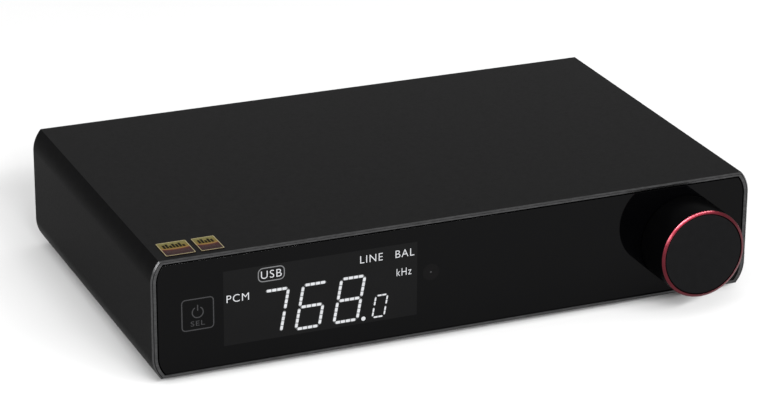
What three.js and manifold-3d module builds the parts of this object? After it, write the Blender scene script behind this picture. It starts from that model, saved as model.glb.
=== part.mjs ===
// Desktop digital-to-analogue converter: a one-piece aluminium sleeve closed by a glossy front panel
// and a rear connector panel, with a segment display, a touch key and a knob that turns and pushes.
// Units are millimetres. X is to the right seen from the front, Y runs to the back and Z is up.
// The origin lies on the standing surface, under the middle of the overall box.

import * as THREE from 'three';
import { mergeVertices } from 'three/addons/utils/BufferGeometryUtils.js';
import Module from 'manifold-3d';

const wasm = await Module();
wasm.setup();

// ---- Driving dimensions ----

const CASE_W = 200;
const CASE_H = 38.2;
const CASE_D = 120.5;
const CORNER_RISE = 7.3;          // height of the rounded stretch at each long edge
const CORNER_INSET = 2.75;        // how far that stretch brings the side in before the flat top
const WALL = 2;
const FOOT_H = 2;                 // casing's height above the standing surface
const GAP = 0.3;                  // air between neighbouring pieces

const RIM_SIDE = 1.7;             // rim of the sleeve left showing round the front panel
const RIM_TOP = 1.25;
const RIM_PROUD = 0.15;
const LENS_T = 2;
const FRAME_T = 2.5;
const PANEL_T = 2;
const PANEL_RECESS = 0.3;

const KNOB_X = 76.4;
const KNOB_R = 14.5;
const KNOB_REACH = 15;            // from the rim plane to the knob's front
const KNOB_LIFT = 0.8;            // from the rim plane to the knob's skirt, at rest
const KNOB_TRAVEL = 0.5;
const SHAFT_R = 3;
const SHAFT_FRONT = 3.3;          // from the knob's front to the end of its shaft
const SHAFT_BORE_R = SHAFT_R + GAP;
const KNOB_WALL = 2.2;
const KNOB_HOLLOW = 4.5;          // from the knob's front to the hollow in its back
const KNOB_BOSS_WALL = 3.2;
const RING_W = 1.05;
const RING_SLOPE = 0.6;
const RING_T = 0.9;
const FACE_T = 0.85;
const FACE_RECESS = 0.05;

const ENCODER_SIZE = 13;
const ENCODER_BACK_WALL = 0.8;
const PLUNGER_T = 1.4;
const BUSHING_R = 4.5;
const BUSHING_FRONT = -1;         // from the rim plane, ahead of it
const NUT_R = 7;
const NUT_T = 1.9;
const SET_SCREW_R = 1.5;
const SET_SCREW_Y = -7;
const SET_SCREW_LENGTH = 4.5;

const WINDOW = { x: -46, z: 0.6, w: 62.8, h: 24.2 };   // display window, about the casing's middle
const TOUCH_KEY = { x: -85.55, z: 0.4, size: 10.3 };
const INFRARED = { x: -10, z: 1.9, r: 3 };

const REAR_REACH = 9.2;           // from the sleeve's back edge to the tips of the round jacks
const BOARD_T = 1.6;
const BOARD_Z = 10.9;             // underside of both circuit boards
const RAIL_T = 1.3;
const RIBBON = { x: 30, width: 22, thickness: 0.8, bendR: 8, plug: 4 };

const LABEL_T = 0.15;
const LABEL_LIFT = 0.05;
const LABEL_LARGE = { x: -89.45, w: 9.3 };
const LABEL_SMALL = { x: -79.4, w: 7.2 };
const LABEL_FRONT_INSET = 2.8;    // from the rim plane to the labels' front edges
const LABEL_D = 10;

// ---- Derived places ----

const OVERALL_D = KNOB_REACH + CASE_D + REAR_REACH;
const FRONT_Y = -OVERALL_D / 2 + KNOB_REACH;
const BACK_Y = FRONT_Y + CASE_D;
const MID_Z = FOOT_H + CASE_H / 2;
const TOP_Z = FOOT_H + CASE_H;

const CORNER_SWEEP = 2 * Math.atan(CORNER_INSET / CORNER_RISE);
const CORNER_R = CORNER_RISE / Math.sin(CORNER_SWEEP);

const LENS_Y = FRONT_Y + RIM_PROUD;
const FRAME_Y = LENS_Y + LENS_T + GAP;
const FRAME_BACK_Y = FRAME_Y + FRAME_T;
const FRONT_BOARD_Y = FRAME_BACK_Y + 7.3;
const PANEL_Y = BACK_Y - PANEL_RECESS;
const BOARD_TOP_Z = BOARD_Z + BOARD_T;
const BOARD_FRONT_Y = FRONT_BOARD_Y + BOARD_T + 3;
const BOARD_BACK_Y = PANEL_Y - PANEL_T - 1;

const BOSS = { x: 93.6, z: 13.3, r: 2.6, hole: 1.7, lug: 4 };
const SCREW = { shank: 1.4, head: 2.4, headT: 1.3, length: 9 };
const RIB_X = -39.5;              // floor rib between the two circuit boards
const RIB_HALF_W = 2.5;
const WEB_HALF_W = 0.5;

const RING_IN_R = KNOB_R - RING_W;
const RAIL_X = 95.2;              // inner edge of the board rails
const FRONT_BOARD = { w: 181.2, h: 28 };

const FOOT = { x: 80, inset: 18, r: 6 };

// Rear connectors, each about its own middle
const BALANCED = {
  shellR: 11.5, cavityR: 9.6, depth: 16, flangeR: 12.6, baseT: 2.7, pins: [[-3.5, 2], [3.5, 2], [0, -4]],
};
const JACK = {
  barrelR: 4.15, boreR: 3.4, flangeR: 5.05, contactR: 1.7, depth: 10, tip: REAR_REACH + PANEL_RECESS,
};
const ANTENNA = { barrelR: 3.1, boreR: 2.3, boreEnd: 4, nutR: 4.6, nutT: 1.9, depth: 7, tip: 8.5 };
const OPTICAL = {
  size: 10, mouth: 7, depth: 11, proud: 1.2, flapT: 0.8,
  pinReach: 4.1, pivotY: 0.2, pivotZ: 2.6, pivotR: 0.45,
};
const USB = { w: 12, h: 11.4, wall: 1.4, depth: 12, tongueW: 5.7, tongueH: 3.2 };
const TRIGGER = { size: 7.4, depth: 13, noseR: 3.1, noseProud: 1.2, boreR: 1.8, boreDepth: 10 };
const MAINS = {
  bodyW: 20.4, bodyH: 11.6, flangeW: 26.4, flangeH: 14.6, flangeT: 1.5,
  slotW: 16.2, slotH: 7.8, depth: 13, pinX: 4.3,
};
const CONTACT_R = 1.2;
const FLANGE_T = 1.2;             // flanges that lie a gap off the panel

const standing = (height) => BOARD_TOP_Z + GAP + height / 2;
const JACK_LOW_Z = 18.1;
const JACK_HIGH_Z = 31.3;
const REAR = [
  { name: 'balanced_out_right', kind: 'balanced', x: 81, z: 24.3 },
  { name: 'balanced_out_left', kind: 'balanced', x: 53.5, z: 24.3 },
  { name: 'line_out_left', kind: 'jack', x: 33, z: JACK_HIGH_Z },
  { name: 'line_out_right', kind: 'jack', x: 33, z: JACK_LOW_Z },
  { name: 'antenna_connector', kind: 'antenna', x: 19, z: JACK_HIGH_Z },
  { name: 'coaxial_in', kind: 'jack', x: 19, z: JACK_LOW_Z },
  { name: 'optical', kind: 'optical', x: 4.5, z: standing(OPTICAL.size) },
  { name: 'usb', kind: 'usb', x: -11, z: standing(USB.h) },
  { name: 'trigger_in_socket', kind: 'trigger', x: -23.5, z: standing(TRIGGER.size) },
  { name: 'trigger_out_socket', kind: 'trigger', x: -32.5, z: standing(TRIGGER.size) },
  { name: 'mains', kind: 'mains', x: -76, z: MID_Z },
];

const ROUND = 28;
const FINE_ROUND = 40;
const MEDIUM_ROUND = 20;
const SMALL_ROUND = 12;

// ---- Finishes ----

const finish = (color, roughness, metalness = 0) =>
  new THREE.MeshStandardMaterial({ color, roughness, metalness });

const blackAnodised = finish(0x262627, 0.5, 0.6);
const blackSatin = finish(0x151516, 0.35, 0.6);
const faceSatin = finish(0x222223, 0.55, 0.5);
const redAnodised = finish(0xa3243f, 0.3, 0.9);
const glossBlack = finish(0x121213, 0.08);
const mattBlack = finish(0x101011, 0.8);
const steel = finish(0x9a9a9c, 0.35, 1);
const nickel = finish(0xb9b9b6, 0.25, 1);
const gold = finish(0xc79a3c, 0.28, 1);
const blackScrew = finish(0x1c1c1d, 0.4, 0.8);
const whitePlastic = finish(0xdadad6, 0.5);
const redPlastic = finish(0xb3231f, 0.5);
const orangePlastic = finish(0xd0641c, 0.5);
const blackPlastic = finish(0x17171a, 0.55);
const greenBoard = finish(0x17492c, 0.5);
const chipBlack = finish(0x1d1d1f, 0.6);
const greyRibbon = finish(0x8d8f93, 0.6);
const rubber = finish(0x141414, 0.9);
const foil = finish(0xb08a3a, 0.35, 0.8);
const displaySmoke = finish(0x1b1b1c, 0.4);

const INSULATOR = {
  line_out_left: whitePlastic,
  line_out_right: redPlastic,
  coaxial_in: orangePlastic,
};

// ---- Shape helpers ----

// Box between two corners, given in either order
function block(x0, x1, y0, y1, z0, z1) {
  const box = new THREE.BoxGeometry(Math.abs(x1 - x0), Math.abs(y1 - y0), Math.abs(z1 - z0));
  return box.translate((x0 + x1) / 2, (y0 + y1) / 2, (z0 + z1) / 2);
}

// Box centred on X and Z, running from y0 to y1
function bar(width, height, y0, y1) {
  return block(-width / 2, width / 2, y0, y1, -height / 2, height / 2);
}

// Turned piece on the Y axis, from a profile of [radius, y] points
function turned(profile, steps = ROUND) {
  return new THREE.LatheGeometry(profile.map(([r, y]) => new THREE.Vector2(r, y)), steps);
}

function rod(radius, y0, y1, steps = ROUND) {
  return turned([[0, y0], [radius, y0], [radius, y1], [0, y1]], steps);
}

// Outline in X and Z, extruded from y0 to y1
function prism(outline, y0, y1) {
  const shape = new THREE.Shape(outline.map(([x, z]) => new THREE.Vector2(x, z)));
  const solid = new THREE.ExtrudeGeometry(shape, { depth: y1 - y0, bevelEnabled: false });
  return solid.rotateX(Math.PI / 2).translate(0, y1, 0);
}

function toSolid(geometry) {
  const bare = geometry.clone();
  bare.deleteAttribute('normal');
  bare.deleteAttribute('uv');
  const merged = mergeVertices(bare, 1e-4);
  return new wasm.Manifold(new wasm.Mesh({
    numProp: 3,
    vertProperties: merged.attributes.position.array,
    triVerts: new Uint32Array(merged.index.array),
  }));
}

function fromSolid(solid) {
  const { vertProperties, triVerts } = solid.getMesh();
  const geometry = new THREE.BufferGeometry();
  geometry.setAttribute('position', new THREE.BufferAttribute(vertProperties, 3));
  geometry.setIndex(new THREE.BufferAttribute(triVerts, 1));
  geometry.computeVertexNormals();
  return geometry;
}

function join(base, ...others) {
  return fromSolid(others.reduce((sum, other) => sum.add(toSolid(other)), toSolid(base)));
}

function cut(base, ...tools) {
  return fromSolid(tools.reduce((rest, tool) => rest.subtract(toSolid(tool)), toSolid(base)));
}

// Casing cross-section about its middle, drawn inside the outer surface by the given distances
function casingOutline(sideInset = 0, topInset = 0) {
  const steps = 6;
  const radius = CORNER_R - sideInset;
  const centreX = CASE_W / 2 - CORNER_R;
  const centreZ = CASE_H / 2 - CORNER_RISE;
  const sweep = Math.asin((CORNER_RISE - topInset) / radius);
  const arc = Array.from({ length: steps + 1 }, (_, i) => {
    const angle = (sweep * i) / steps;
    return [centreX + radius * Math.cos(angle), centreZ + radius * Math.sin(angle)];
  });
  const backwards = [...arc].reverse();
  return [
    ...arc,
    ...backwards.map(([x, z]) => [-x, z]),
    ...arc.map(([x, z]) => [-x, -z]),
    ...backwards.map(([x, z]) => [x, -z]),
  ];
}

// Outline in Y and Z, extruded from x0 to x1
function prismAlongX(outline, x0, x1) {
  const shape = new THREE.Shape(outline.map(([y, z]) => new THREE.Vector2(y, z)));
  const solid = new THREE.ExtrudeGeometry(shape, { depth: x1 - x0, bevelEnabled: false });
  return solid.rotateX(Math.PI / 2).rotateZ(Math.PI / 2).translate(x0, 0, 0);
}

// Outline of a slot with round ends, about its middle
function stadium(width, height, steps = 8) {
  const radius = height / 2;
  const reach = width / 2 - radius;
  const end = Array.from({ length: steps + 1 }, (_, i) => {
    const angle = -Math.PI / 2 + (Math.PI * i) / steps;
    return [reach + radius * Math.cos(angle), radius * Math.sin(angle)];
  });
  return [...end, ...[...end].reverse().map(([x, z]) => [-x, z])];
}

const CORNERS = [
  { name: 'upper_left', x: -1, z: 1 },
  { name: 'upper_right', x: 1, z: 1 },
  { name: 'lower_left', x: -1, z: -1 },
  { name: 'lower_right', x: 1, z: -1 },
];

const dac = new THREE.Group();

// Pieces that share one local origin
function place(x, y, z) {
  const group = new THREE.Group();
  group.position.set(x, y, z);
  dac.add(group);
  return group;
}

function add(group, name, geometry, material) {
  const mesh = new THREE.Mesh(geometry, material);
  mesh.name = name;
  group.add(mesh);
}

// ---- Sleeve: one extrusion with screw bosses, board rails and a floor rib ----

function sleeve() {
  const front = FRAME_BACK_Y + GAP;
  const back = PANEL_Y - PANEL_T - GAP;
  const railFront = BOARD_FRONT_Y - 1;
  const wallX = CASE_W / 2 - WALL / 2;
  const floor = -CASE_H / 2 + WALL / 2;
  const railTop = BOARD_Z - MID_Z - GAP;
  const lipBottom = railTop + BOARD_T + 2 * GAP;
  const lipTop = lipBottom + RAIL_T;
  const bosses = CORNERS.flatMap(({ x, z }) => [
    rod(BOSS.r, front, back, SMALL_ROUND).translate(x * BOSS.x, 0, z * BOSS.z),
    block(x * BOSS.x, x * (BOSS.x + BOSS.lug), front, back, z * (BOSS.z - 1.5), z * (BOSS.z + BOSS.lug)),
  ]);
  const rails = [-1, 1].flatMap((side) => [
    block(side * RAIL_X, side * wallX, railFront, back, railTop - RAIL_T, railTop),
    block(side * RAIL_X, side * wallX, railFront, back, lipBottom, lipTop),
  ]);
  const rib = [
    block(RIB_X - RIB_HALF_W, RIB_X + RIB_HALF_W, railFront, back, floor, railTop),
    block(RIB_X - WEB_HALF_W, RIB_X + WEB_HALF_W, railFront, back, railTop - 1, lipTop),
    block(RIB_X - RIB_HALF_W, RIB_X + RIB_HALF_W, railFront, back, lipBottom, lipTop),
  ];
  const tube = cut(
    prism(casingOutline(), FRONT_Y, BACK_Y),
    prism(casingOutline(WALL, WALL), FRONT_Y - 1, BACK_Y + 1),
  );
  const screwHoles = CORNERS.map(({ x, z }) => (
    rod(BOSS.hole, front - 1, back + 1, SMALL_ROUND).translate(x * BOSS.x, 0, z * BOSS.z)
  ));
  const lensSeat = prism(casingOutline(RIM_SIDE, RIM_TOP), FRONT_Y - 1, LENS_Y + LENS_T);
  return cut(join(tube, ...bosses, ...rails, ...rib), ...screwHoles, lensSeat);
}

// ---- Front: glossy panel, frame behind it, display and touch key ----

function frontLens() {
  const plate = prism(casingOutline(RIM_SIDE + GAP, RIM_TOP + GAP), LENS_Y, LENS_Y + LENS_T);
  return cut(plate, rod(NUT_R + 0.5, FRONT_Y - 1, FRAME_Y).translate(KNOB_X, 0, 0));
}

function frontFrame() {
  const { x, z, w, h } = WINDOW;
  const keyHole = TOUCH_KEY.size / 2 + GAP;
  const y0 = FRAME_Y - 1;
  const y1 = FRAME_BACK_Y + 1;
  const counterbore = FRAME_Y + SCREW.headT + GAP;
  return cut(
    prism(casingOutline(WALL + GAP, WALL + GAP), FRAME_Y, FRAME_BACK_Y),
    block(x - w / 2, x + w / 2, y0, y1, z - h / 2, z + h / 2),
    bar(2 * keyHole, 2 * keyHole, y0, y1).translate(TOUCH_KEY.x, 0, TOUCH_KEY.z),
    rod(INFRARED.r, y0, y1, SMALL_ROUND).translate(INFRARED.x, 0, INFRARED.z),
    rod(BUSHING_R + GAP, y0, y1).translate(KNOB_X, 0, 0),
    ...CORNERS.flatMap((corner) => [
      rod(BOSS.hole, y0, y1, SMALL_ROUND).translate(corner.x * BOSS.x, 0, corner.z * BOSS.z),
      rod(SCREW.head + GAP, y0, counterbore, SMALL_ROUND)
        .translate(corner.x * BOSS.x, 0, corner.z * BOSS.z),
    ]),
  );
}

// Head towards -Y, with a socket in it; y = 0 is the underside of the head
function screw() {
  const { shank, head, headT, length } = SCREW;
  const socketR = shank * 0.8;
  return turned([
    [0, -headT * 0.4], [socketR, -headT * 0.4], [socketR, -headT], [head * 0.85, -headT],
    [head, -headT * 0.7], [head, 0], [shank, 0], [shank, length], [0, length],
  ], SMALL_ROUND);
}

function infraredReceiver() {
  const dome = new THREE.SphereGeometry(INFRARED.r - 2 * GAP, SMALL_ROUND, 8);
  return join(
    bar(6, 6.6, FRAME_BACK_Y + GAP, FRONT_BOARD_Y - GAP),
    dome.translate(0, FRAME_BACK_Y + GAP, 0),
  );
}

const casing = place(0, 0, MID_Z);
add(casing, 'casing_sleeve', sleeve(), blackAnodised);
add(casing, 'front_lens', frontLens(), glossBlack);
add(casing, 'front_frame', frontFrame(), blackSatin);

const frontScrewY = FRAME_Y + SCREW.headT;
for (const { name, x, z } of CORNERS) {
  add(place(x * BOSS.x, frontScrewY, MID_Z + z * BOSS.z), `front_screw_${name}`, screw(), blackScrew);
}

const displayGroup = place(WINDOW.x, 0, MID_Z + WINDOW.z);
add(
  displayGroup,
  'display_module',
  bar(WINDOW.w - 2 * GAP, WINDOW.h - 2 * GAP, FRAME_Y, FRONT_BOARD_Y - GAP),
  displaySmoke,
);

const touchGroup = place(TOUCH_KEY.x, 0, MID_Z + TOUCH_KEY.z);
add(
  touchGroup,
  'touch_sensor_block',
  bar(TOUCH_KEY.size, TOUCH_KEY.size, FRAME_Y, FRONT_BOARD_Y - GAP),
  mattBlack,
);

add(
  place(INFRARED.x, 0, MID_Z + INFRARED.z),
  'infrared_receiver',
  infraredReceiver(),
  mattBlack,
);

const frontBoard = bar(FRONT_BOARD.w, FRONT_BOARD.h, FRONT_BOARD_Y, FRONT_BOARD_Y + BOARD_T);
add(casing, 'front_board', frontBoard, greenBoard);

// ---- Knob and encoder, with y = 0 on the rim plane ----

function encoderBody() {
  const frame = FRAME_BACK_Y - FRONT_Y + GAP;
  const board = FRONT_BOARD_Y - FRONT_Y - GAP;
  const body = bar(ENCODER_SIZE, ENCODER_SIZE, frame, board);
  const whole = join(body, rod(BUSHING_R, BUSHING_FRONT, frame + 1));
  return cut(whole, rod(SHAFT_BORE_R, BUSHING_FRONT - 1, board - ENCODER_BACK_WALL));
}

function encoderNut() {
  const back = FRAME_Y - FRONT_Y - GAP;
  const hexagon = rod(NUT_R, back - NUT_T, back, 6);
  return cut(hexagon, rod(BUSHING_R + GAP, -NUT_T, back + 1));
}

function knobBody() {
  const front = -KNOB_REACH + RING_T + GAP;
  const hollow = -KNOB_REACH + KNOB_HOLLOW;
  const boreEnd = -KNOB_REACH + SHAFT_FRONT - GAP;
  const bossR = SHAFT_BORE_R + KNOB_BOSS_WALL;
  const bossBack = BUSHING_FRONT - 2 * KNOB_TRAVEL;
  const body = turned([
    [0, front], [KNOB_R, front], [KNOB_R, -KNOB_LIFT - GAP], [KNOB_R - GAP, -KNOB_LIFT],
    [KNOB_R - KNOB_WALL, -KNOB_LIFT], [KNOB_R - KNOB_WALL, hollow], [bossR, hollow],
    [bossR, bossBack], [SHAFT_BORE_R, bossBack], [SHAFT_BORE_R, boreEnd], [0, boreEnd],
  ], FINE_ROUND);
  const screwHole = rod(SET_SCREW_R + GAP, -KNOB_R - 1, 0, SMALL_ROUND);
  return cut(body, screwHole.rotateX(Math.PI / 2).translate(0, SET_SCREW_Y, 0));
}

function knobRing() {
  const front = -KNOB_REACH;
  return turned([
    [RING_IN_R, front], [KNOB_R, front + RING_SLOPE],
    [KNOB_R, front + RING_T], [RING_IN_R, front + RING_T], [RING_IN_R, front],
  ], FINE_ROUND);
}

function knobFace() {
  const front = -KNOB_REACH + FACE_RECESS;
  const radius = RING_IN_R - GAP;
  const edge = 0.2;
  return turned([
    [0, front], [radius - edge, front], [radius, front + edge],
    [radius, front + FACE_T], [0, front + FACE_T],
  ], FINE_ROUND);
}

const knob = place(KNOB_X, FRONT_Y, MID_Z);
const plungerBack = FRONT_BOARD_Y - FRONT_Y - GAP - ENCODER_BACK_WALL - 2 * KNOB_TRAVEL;
const plungerFront = plungerBack - PLUNGER_T;
add(knob, 'encoder_body', encoderBody(), blackPlastic);
add(knob, 'encoder_nut', encoderNut(), nickel);
add(knob, 'switch_plunger', rod(SHAFT_R - 0.1, plungerFront, plungerBack), whitePlastic);
add(knob, 'encoder_shaft', rod(SHAFT_R, -KNOB_REACH + SHAFT_FRONT, plungerFront - GAP), nickel);
add(knob, 'knob_body', knobBody(), blackSatin);
add(knob, 'knob_ring', knobRing(), redAnodised);
add(knob, 'knob_face', knobFace(), faceSatin);
const setScrew = rod(SET_SCREW_R, -SHAFT_BORE_R - SET_SCREW_LENGTH, -SHAFT_BORE_R, SMALL_ROUND);
add(knob, 'knob_set_screw', setScrew.rotateX(Math.PI / 2).translate(0, SET_SCREW_Y, 0), blackScrew);

// ---- Circuit boards and the parts that stand on them ----

const boardEdge = CASE_W / 2 - WALL - 1;
const webClear = WEB_HALF_W + GAP;

add(
  dac,
  'power_board',
  block(-boardEdge, RIB_X - webClear, BOARD_FRONT_Y, BOARD_BACK_Y, BOARD_Z, BOARD_TOP_Z),
  greenBoard,
);
add(
  dac,
  'main_board',
  block(RIB_X + webClear, boardEdge, BOARD_FRONT_Y, BOARD_BACK_Y, BOARD_Z, BOARD_TOP_Z),
  greenBoard,
);

// Pieces on a board, with z = 0 a gap above its surface
function onBoard(name, x, y, geometry, material) {
  add(place(x, y, BOARD_TOP_Z + GAP), name, geometry, material);
}

function box(width, depth, height) {
  return block(-width / 2, width / 2, -depth / 2, depth / 2, 0, height);
}

function can(radius, height) {
  return rod(radius, 0, height, MEDIUM_ROUND).rotateX(Math.PI / 2);
}

const TRANSFORMER = join(box(34, 22, 17), box(20, 32, 20));

onBoard('transformer', -72, 14, TRANSFORMER, mattBlack);
onBoard('mains_capacitor', -84, -20, can(7.5, 20), blackPlastic);
onBoard('smoothing_capacitor', -60, -22, can(6.5, 17), blackPlastic);
onBoard('converter_chip', 60, -8, box(10, 10, 1.4), chipBlack);
onBoard('processor_chip', 4, -4, box(14, 14, 1.4), chipBlack);
onBoard('wireless_module', 19, 26, box(16, 20, 2.6), steel);
onBoard('output_relay', 66, 22, box(15, 11, 9.5), blackPlastic);

// Flat cable from a plug on the front board, back and down in a quarter turn to one on the main board
function ribbonCable() {
  const { width, thickness, bendR, plug } = RIBBON;
  const startY = FRONT_BOARD_Y + BOARD_T + GAP;
  const footZ = BOARD_TOP_Z + GAP;
  const bendY = startY + plug;
  const bendZ = footZ + plug;
  const quarter = (r) => Array.from({ length: 9 }, (_, i) => {
    const angle = (Math.PI / 2) * (1 - i / 8);
    return [bendY + r * Math.cos(angle), bendZ + r * Math.sin(angle)];
  });
  const band = [
    ...quarter(bendR),
    [bendY + bendR, bendZ - 1], [bendY + bendR - thickness, bendZ - 1],
    ...quarter(bendR - thickness).reverse(),
    [bendY - 1, bendZ + bendR - thickness], [bendY - 1, bendZ + bendR],
  ];
  const middleZ = bendZ + bendR - thickness / 2;
  const middleY = bendY + bendR - thickness / 2;
  return join(
    prismAlongX(band.reverse(), -width / 2, width / 2),
    block(-width / 2, width / 2, startY, bendY, middleZ - 2, middleZ + 2),
    block(-width / 2, width / 2, middleY - 2, middleY + 2, footZ, bendZ),
  );
}

add(place(RIBBON.x, 0, 0), 'ribbon_cable', ribbonCable(), greyRibbon);

// ---- Rear panel ----

const HOLE = {
  balanced: rod(BALANCED.shellR + GAP, -PANEL_T - 1, 1),
  jack: rod(JACK.barrelR + GAP, -PANEL_T - 1, 1, MEDIUM_ROUND),
  antenna: rod(ANTENNA.barrelR + GAP, -PANEL_T - 1, 1, MEDIUM_ROUND),
  optical: bar(OPTICAL.size + 2 * GAP, OPTICAL.size + 2 * GAP, -PANEL_T - 1, 1),
  usb: bar(USB.w + 2 * GAP, USB.h + 2 * GAP, -PANEL_T - 1, 1),
  trigger: rod(TRIGGER.noseR + GAP, -PANEL_T - 1, 1, MEDIUM_ROUND),
  mains: bar(MAINS.bodyW + 2 * GAP, MAINS.bodyH + 2 * GAP, -PANEL_T - 1, 1),
};

function rearPanel() {
  const plate = prism(casingOutline(WALL + GAP, WALL + GAP), PANEL_Y - PANEL_T, PANEL_Y);
  const screwHoles = CORNERS.map(({ x, z }) => (
    rod(BOSS.hole, PANEL_Y - PANEL_T - 1, PANEL_Y + 1, SMALL_ROUND)
      .translate(x * BOSS.x, 0, z * BOSS.z)
  ));
  const sockets = REAR.map(({ kind, x, z }) => HOLE[kind].clone().translate(x, PANEL_Y, z - MID_Z));
  return cut(plate, ...screwHoles, ...sockets);
}

add(casing, 'rear_panel', rearPanel(), blackAnodised);
for (const { name, x, z } of CORNERS) {
  const group = place(x * BOSS.x, PANEL_Y + GAP, MID_Z + z * BOSS.z);
  add(group, `rear_screw_${name}`, screw().rotateZ(Math.PI), blackScrew);
}

// ---- Rear connectors, with y = 0 on the panel's outer face ----

const behind = -PANEL_T - GAP;
const flangeFront = GAP + FLANGE_T;

function balancedShell() {
  const { shellR, cavityR, depth, flangeR } = BALANCED;
  return turned([
    [0, -depth - 2], [shellR, -depth - 2], [shellR, GAP], [flangeR, GAP],
    [flangeR, flangeFront], [cavityR, flangeFront], [cavityR, -depth], [0, -depth],
  ]);
}

function balancedInsert() {
  const { cavityR, depth, baseT, pins } = BALANCED;
  const base = rod(cavityR - GAP, -depth + GAP, -depth + GAP + baseT);
  const contacts = pins.map(([x, z]) => (
    rod(CONTACT_R, -depth + baseT, -1.5, SMALL_ROUND).translate(x, 0, z)
  ));
  return join(base, ...contacts);
}

function jackBarrel() {
  const { barrelR, boreR, flangeR, depth, tip } = JACK;
  const edge = 0.3;
  return turned([
    [boreR, -depth], [barrelR, -depth], [barrelR, GAP], [flangeR, GAP],
    [flangeR, flangeFront], [barrelR, flangeFront], [barrelR, tip - edge], [barrelR - edge, tip],
    [boreR, tip], [boreR, -depth],
  ], MEDIUM_ROUND);
}

function jackInsulator() {
  const { boreR, contactR, depth, tip } = JACK;
  const radius = boreR - GAP;
  const back = -depth + GAP;
  const front = tip - 0.8;
  return turned([
    [0, back], [radius, back], [radius, front], [contactR, front], [contactR, -4], [0, -4],
  ], SMALL_ROUND);
}

function antennaConnector() {
  const { barrelR, boreR, boreEnd, nutR, nutT, depth, tip } = ANTENNA;
  const barrel = turned([
    [0, -depth], [barrelR, -depth], [barrelR, tip], [boreR, tip], [boreR, boreEnd], [0, boreEnd],
  ], MEDIUM_ROUND);
  return join(barrel, rod(nutR, GAP, GAP + nutT, 6));
}

function opticalSocket() {
  const { size, mouth, depth, proud, pinReach, pivotY, pivotZ, pivotR } = OPTICAL;
  const body = bar(size, size, -depth - 2.7, proud);
  const cavity = bar(mouth, mouth, -depth, proud + 1);
  const reach = pinReach + GAP;
  const pivotHole = rod(pivotR + GAP, -reach, reach, SMALL_ROUND).rotateZ(Math.PI / 2);
  return cut(body, cavity, pivotHole.translate(0, pivotY, pivotZ));
}

function opticalShutter() {
  const { mouth, flapT, pinReach, pivotY, pivotZ, pivotR } = OPTICAL;
  const flap = bar(mouth - 2 * GAP, mouth - 2 * GAP, pivotY - flapT / 2, pivotY + flapT / 2);
  const pin = rod(pivotR, -pinReach, pinReach, SMALL_ROUND).rotateZ(Math.PI / 2);
  return join(flap, pin.translate(0, pivotY, pivotZ));
}

function usbSocket() {
  const { w, h, wall, depth } = USB;
  return cut(bar(w, h, -depth - 2, 1), bar(w - 2 * wall, h - 2 * wall, -depth, 2));
}

function triggerSocket() {
  const { size, depth, noseR, noseProud, boreR, boreDepth } = TRIGGER;
  return cut(
    join(bar(size, size, -depth, behind), rod(noseR, behind - 1, noseProud, MEDIUM_ROUND)),
    rod(boreR, -boreDepth, noseProud + 1, SMALL_ROUND),
  );
}

function mainsInlet() {
  const { bodyW, bodyH, flangeW, flangeH, flangeT, slotW, slotH, depth } = MAINS;
  const flange = prism(stadium(flangeW, flangeH), GAP, GAP + flangeT);
  const body = bar(bodyW, bodyH, -depth - 3, 1);
  return cut(join(flange, body), prism(stadium(slotW, slotH), -depth, 3));
}

for (const { name, kind, x, z } of REAR) {
  const group = place(x, PANEL_Y, z);
  if (kind === 'balanced') {
    add(group, `${name}_shell`, balancedShell(), nickel);
    add(group, `${name}_insert`, balancedInsert(), blackPlastic);
  }
  if (kind === 'jack') {
    add(group, `${name}_barrel`, jackBarrel(), gold);
    add(group, `${name}_insulator`, jackInsulator(), INSULATOR[name]);
  }
  if (kind === 'antenna') add(group, name, antennaConnector(), gold);
  if (kind === 'trigger') add(group, name, triggerSocket(), blackPlastic);
  if (kind === 'optical') {
    add(group, 'optical_socket', opticalSocket(), blackPlastic);
    add(group, 'optical_shutter', opticalShutter(), mattBlack);
  }
  if (kind === 'usb') {
    add(group, 'usb_socket', usbSocket(), steel);
    add(group, 'usb_tongue', bar(USB.tongueW, USB.tongueH, -USB.depth + GAP, -1.5), whitePlastic);
  }
  if (kind === 'mains') {
    const pin = () => rod(CONTACT_R, -MAINS.depth + GAP, -1, SMALL_ROUND);
    add(group, 'mains_inlet', mainsInlet(), blackPlastic);
    add(group, 'mains_pin_left', pin().translate(-MAINS.pinX, 0, 0), nickel);
    add(group, 'mains_pin_right', pin().translate(MAINS.pinX, 0, 0), nickel);
  }
}

// ---- Feet and labels ----

const FEET = [
  { name: 'foot_front_left', x: -FOOT.x, y: FRONT_Y + FOOT.inset },
  { name: 'foot_front_right', x: FOOT.x, y: FRONT_Y + FOOT.inset },
  { name: 'foot_rear_left', x: -FOOT.x, y: BACK_Y - FOOT.inset },
  { name: 'foot_rear_right', x: FOOT.x, y: BACK_Y - FOOT.inset },
];

for (const { name, x, y } of FEET) {
  const pad = turned([
    [0, 0], [FOOT.r - 0.4, 0], [FOOT.r, 0.4], [FOOT.r, FOOT_H - GAP], [0, FOOT_H - GAP],
  ], MEDIUM_ROUND);
  add(place(x, y, 0), name, pad.rotateX(Math.PI / 2), rubber);
}

for (const [name, label] of [['foil_label_large', LABEL_LARGE], ['foil_label_small', LABEL_SMALL]]) {
  const sheet = block(-label.w / 2, label.w / 2, 0, LABEL_D, 0, LABEL_T);
  add(place(label.x, FRONT_Y + LABEL_FRONT_INSET, TOP_Z + LABEL_LIFT), name, sheet, foil);
}

export default dac;
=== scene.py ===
"""Looks of the desktop converter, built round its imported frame. Lengths are in metres."""

import math

import bmesh
import bpy
from mathutils import Matrix, Quaternion, Vector


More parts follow.
